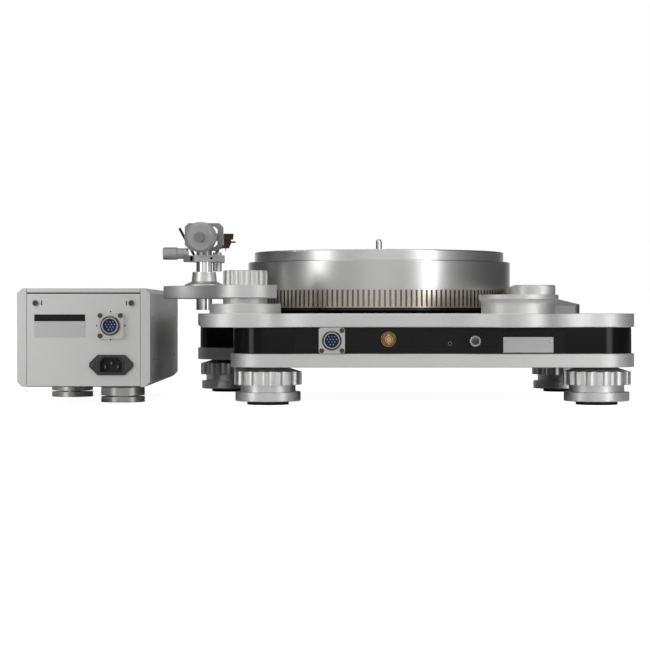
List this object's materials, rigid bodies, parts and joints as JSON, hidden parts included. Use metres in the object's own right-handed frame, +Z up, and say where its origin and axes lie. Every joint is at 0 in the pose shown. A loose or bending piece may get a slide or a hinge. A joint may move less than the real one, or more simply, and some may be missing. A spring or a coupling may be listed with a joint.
{
  "type": "turntable",
  "caption": "Heavy record player with a two-tier platter, magnetic rim drive, gimbal tonearm on a swinging board, scalloped levelling feet and a separate box-shaped power supply.",
  "frame": {"origin": "centre of the set's footprint on the table, power supply included", "axes": "+Z up, the operator stands at -Y, the sockets face +Y, tonearm and power supply towards +X"},
  "size_m": [0.6869, 0.4919, 0.2056],
  "materials": {
    "brushed_aluminium": "fine brushed, silver anodised",
    "turned_aluminium": "turned, silver anodised",
    "black_anodised": "black anodised, satin",
    "black_fastener": "blackened steel",
    "bright_steel": "polished",
    "magnet": "sintered magnet",
    "gold_plate": "gold plated",
    "bronze": "bearing bronze",
    "nickel_plate": "nickel plated",
    "blue_insulator": "moulded",
    "black_plastic": "moulded, fine texture",
    "display": "smooth dark window",
    "rubber_pad": "matt rubber",
    "copper_winding": "enamelled copper winding",
    "cartridge_brown": "dark brown, satin",
    "dark_metal": "dark grey anodised"
  },
  "bodies": {
    "chassis": {"lower_plate": "brushed_aluminium", "middle_frame": "black_anodised", "upper_plate": "brushed_aluminium", "rear_panel": "black_anodised", "dc_sockets": "nickel_plate", "dc_inserts": "blue_insulator", "cap_screws": "black_fastener", "clock_socket": "gold_plate", "ground_post": "nickel_plate", "bearing_housing": "turned_aluminium", "bearing_bush": "bronze", "lift_magnet_lower": "magnet", "base_disc": "black_anodised", "feet": "turned_aluminium", "foot_pads": "rubber_pad", "drive_tower": "turned_aluminium", "control_housing": "brushed_aluminium", "display_window": "display", "arm_tower": "turned_aluminium", "psu_side_panels": "brushed_aluminium", "psu_top_panel": "brushed_aluminium", "psu_base_panel": "dark_metal", "psu_rear_panel": "brushed_aluminium", "psu_front_panel": "brushed_aluminium", "psu_transformer": "copper_winding", "power_inlet": "black_plastic", "psu_feet": "nickel_plate"},
    "platter": {"bearing_shaft": "bright_steel", "platter_hub": "turned_aluminium", "lift_magnet_upper": "magnet", "platter_drum": "turned_aluminium", "platter_top": "turned_aluminium", "magnet_ring": "nickel_plate", "spindle": "bright_steel"},
    "drive_arm": {"drive_head": "brushed_aluminium", "drive_motor": "copper_winding"},
    "drive_wheel": {"drive_wheel": "magnet"},
    "start_button": {"button_start": "turned_aluminium"},
    "speed_button": {"button_speed": "turned_aluminium"},
    "supply_button": {"power_button": "turned_aluminium"},
    "collar_rear_left": {"collar_rear_left": "turned_aluminium"},
    "collar_rear_right": {"collar_rear_right": "turned_aluminium"},
    "collar_front_left": {"collar_front_left": "turned_aluminium"},
    "collar_front_right": {"collar_front_right": "turned_aluminium"},
    "ground_nut": {"ground_nut": "nickel_plate"},
    "arm_board": {"armboard": "turned_aluminium", "arm_base": "turned_aluminium"},
    "lock_knob": {"lock_knob": "turned_aluminium"},
    "arm_post": {"pillar": "bright_steel", "clamp_plate": "brushed_aluminium", "lifter_cylinder": "turned_aluminium"},
    "skate_knob": {"antiskate_knob": "turned_aluminium"},
    "cue_lever": {"cue_lever": "dark_metal"},
    "lifter_bar": {"lifter_bar": "dark_metal"},
    "arm_yoke": {"yoke": "dark_metal"},
    "tonearm": {"gimbal_ring": "turned_aluminium", "arm_tube": "turned_aluminium", "headshell": "dark_metal", "cartridge": "cartridge_brown"},
    "counterweight": {"counterweight": "turned_aluminium"}
  },
  "joints": [
    {"name": "platter_spin", "type": "hinge", "parent": "chassis", "child": "platter", "pos_m": [-0.05885, -0.0114, 0.1746], "axis": [0, 0, 1], "continuous": true},
    {"name": "head_swing", "type": "hinge", "parent": "chassis", "child": "drive_arm", "pos_m": [-0.20825, 0.1926, 0.1221], "axis": [0, 0, -1], "range_deg": [0, 12]},
    {"name": "wheel_spin", "type": "hinge", "parent": "drive_arm", "child": "drive_wheel", "pos_m": [-0.23035, 0.0433, 0.1068], "axis": [0, 0, 1], "continuous": true},
    {"name": "start_press", "type": "slide", "parent": "chassis", "child": "start_button", "axis": [0.2419, 0, -0.9703], "range_m": [0, 0.0015], "stiffness_N_per_m": 300},
    {"name": "speed_press", "type": "slide", "parent": "chassis", "child": "speed_button", "axis": [0.2419, 0, -0.9703], "range_m": [0, 0.0015], "stiffness_N_per_m": 300},
    {"name": "supply_press", "type": "slide", "parent": "chassis", "child": "supply_button", "axis": [0, 1, 0], "range_m": [0, 0.002], "stiffness_N_per_m": 400},
    {"name": "turn_collar_rear_left", "type": "hinge", "parent": "chassis", "child": "collar_rear_left", "pos_m": [-0.29785, 0.1686, 0.0222], "axis": [0, 0, 1], "continuous": true},
    {"name": "turn_collar_rear_right", "type": "hinge", "parent": "chassis", "child": "collar_rear_right", "pos_m": [0.06945, 0.1686, 0.0222], "axis": [0, 0, 1], "continuous": true},
    {"name": "turn_collar_front_left", "type": "hinge", "parent": "chassis", "child": "collar_front_left", "pos_m": [-0.30185, -0.2044, 0.0222], "axis": [0, 0, 1], "continuous": true},
    {"name": "turn_collar_front_right", "type": "hinge", "parent": "chassis", "child": "collar_front_right", "pos_m": [0.13115, -0.2044, 0.0222], "axis": [0, 0, 1], "continuous": true},
    {"name": "turn_ground_nut", "type": "hinge", "parent": "chassis", "child": "ground_nut", "pos_m": [-0.15915, 0.2069, 0.0711], "axis": [0, 1, 0], "continuous": true},
    {"name": "board_swing", "type": "hinge", "parent": "chassis", "child": "arm_board", "pos_m": [0.09375, 0.1966, 0.1184], "axis": [0, 0, 1], "range_deg": [-8, 1.5]},
    {"name": "turn_lock_knob", "type": "hinge", "parent": "chassis", "child": "lock_knob", "pos_m": [0.09375, 0.1966, 0.133], "axis": [0, 0, 1], "continuous": true},
    {"name": "arm_height", "type": "slide", "parent": "arm_board", "child": "arm_post", "axis": [0, 0, 1], "range_m": [-0.003, 0.01]},
    {"name": "skate_turn", "type": "hinge", "parent": "arm_post", "child": "skate_knob", "pos_m": [0.16485, 0.0826, 0.171], "axis": [1, 0, 0], "range_deg": [0, 270]},
    {"name": "cue_turn", "type": "hinge", "parent": "arm_post", "child": "cue_lever", "pos_m": [0.15445, 0.0586, 0.1647], "axis": [1, 0, 0], "range_deg": [0, 55]},
    {"name": "lifter_slide", "type": "slide", "parent": "arm_post", "child": "lifter_bar", "axis": [0, 0, 1], "range_m": [0, 0.006]},
    {"name": "arm_yaw", "type": "hinge", "parent": "arm_post", "child": "arm_yoke", "pos_m": [0.14565, 0.0926, 0.1898], "axis": [0, 0, -1], "range_deg": [0, 46]},
    {"name": "arm_tilt", "type": "hinge", "parent": "arm_yoke", "child": "tonearm", "pos_m": [0.14565, 0.0926, 0.1898], "axis": [-1, 0, 0], "range_deg": [-2.5, 12]},
    {"name": "weight_slide", "type": "slide", "parent": "tonearm", "child": "counterweight", "axis": [0, 0.9993, -0.0384], "range_m": [-0.01, 0.01]}
  ],
  "couplings": [
    {"joint": "wheel_spin", "follows": "platter_spin", "ratio": -7.4524},
    {"joint": "cue_turn", "follows": "lifter_slide", "rad_per_m": 159.98}
  ]
}
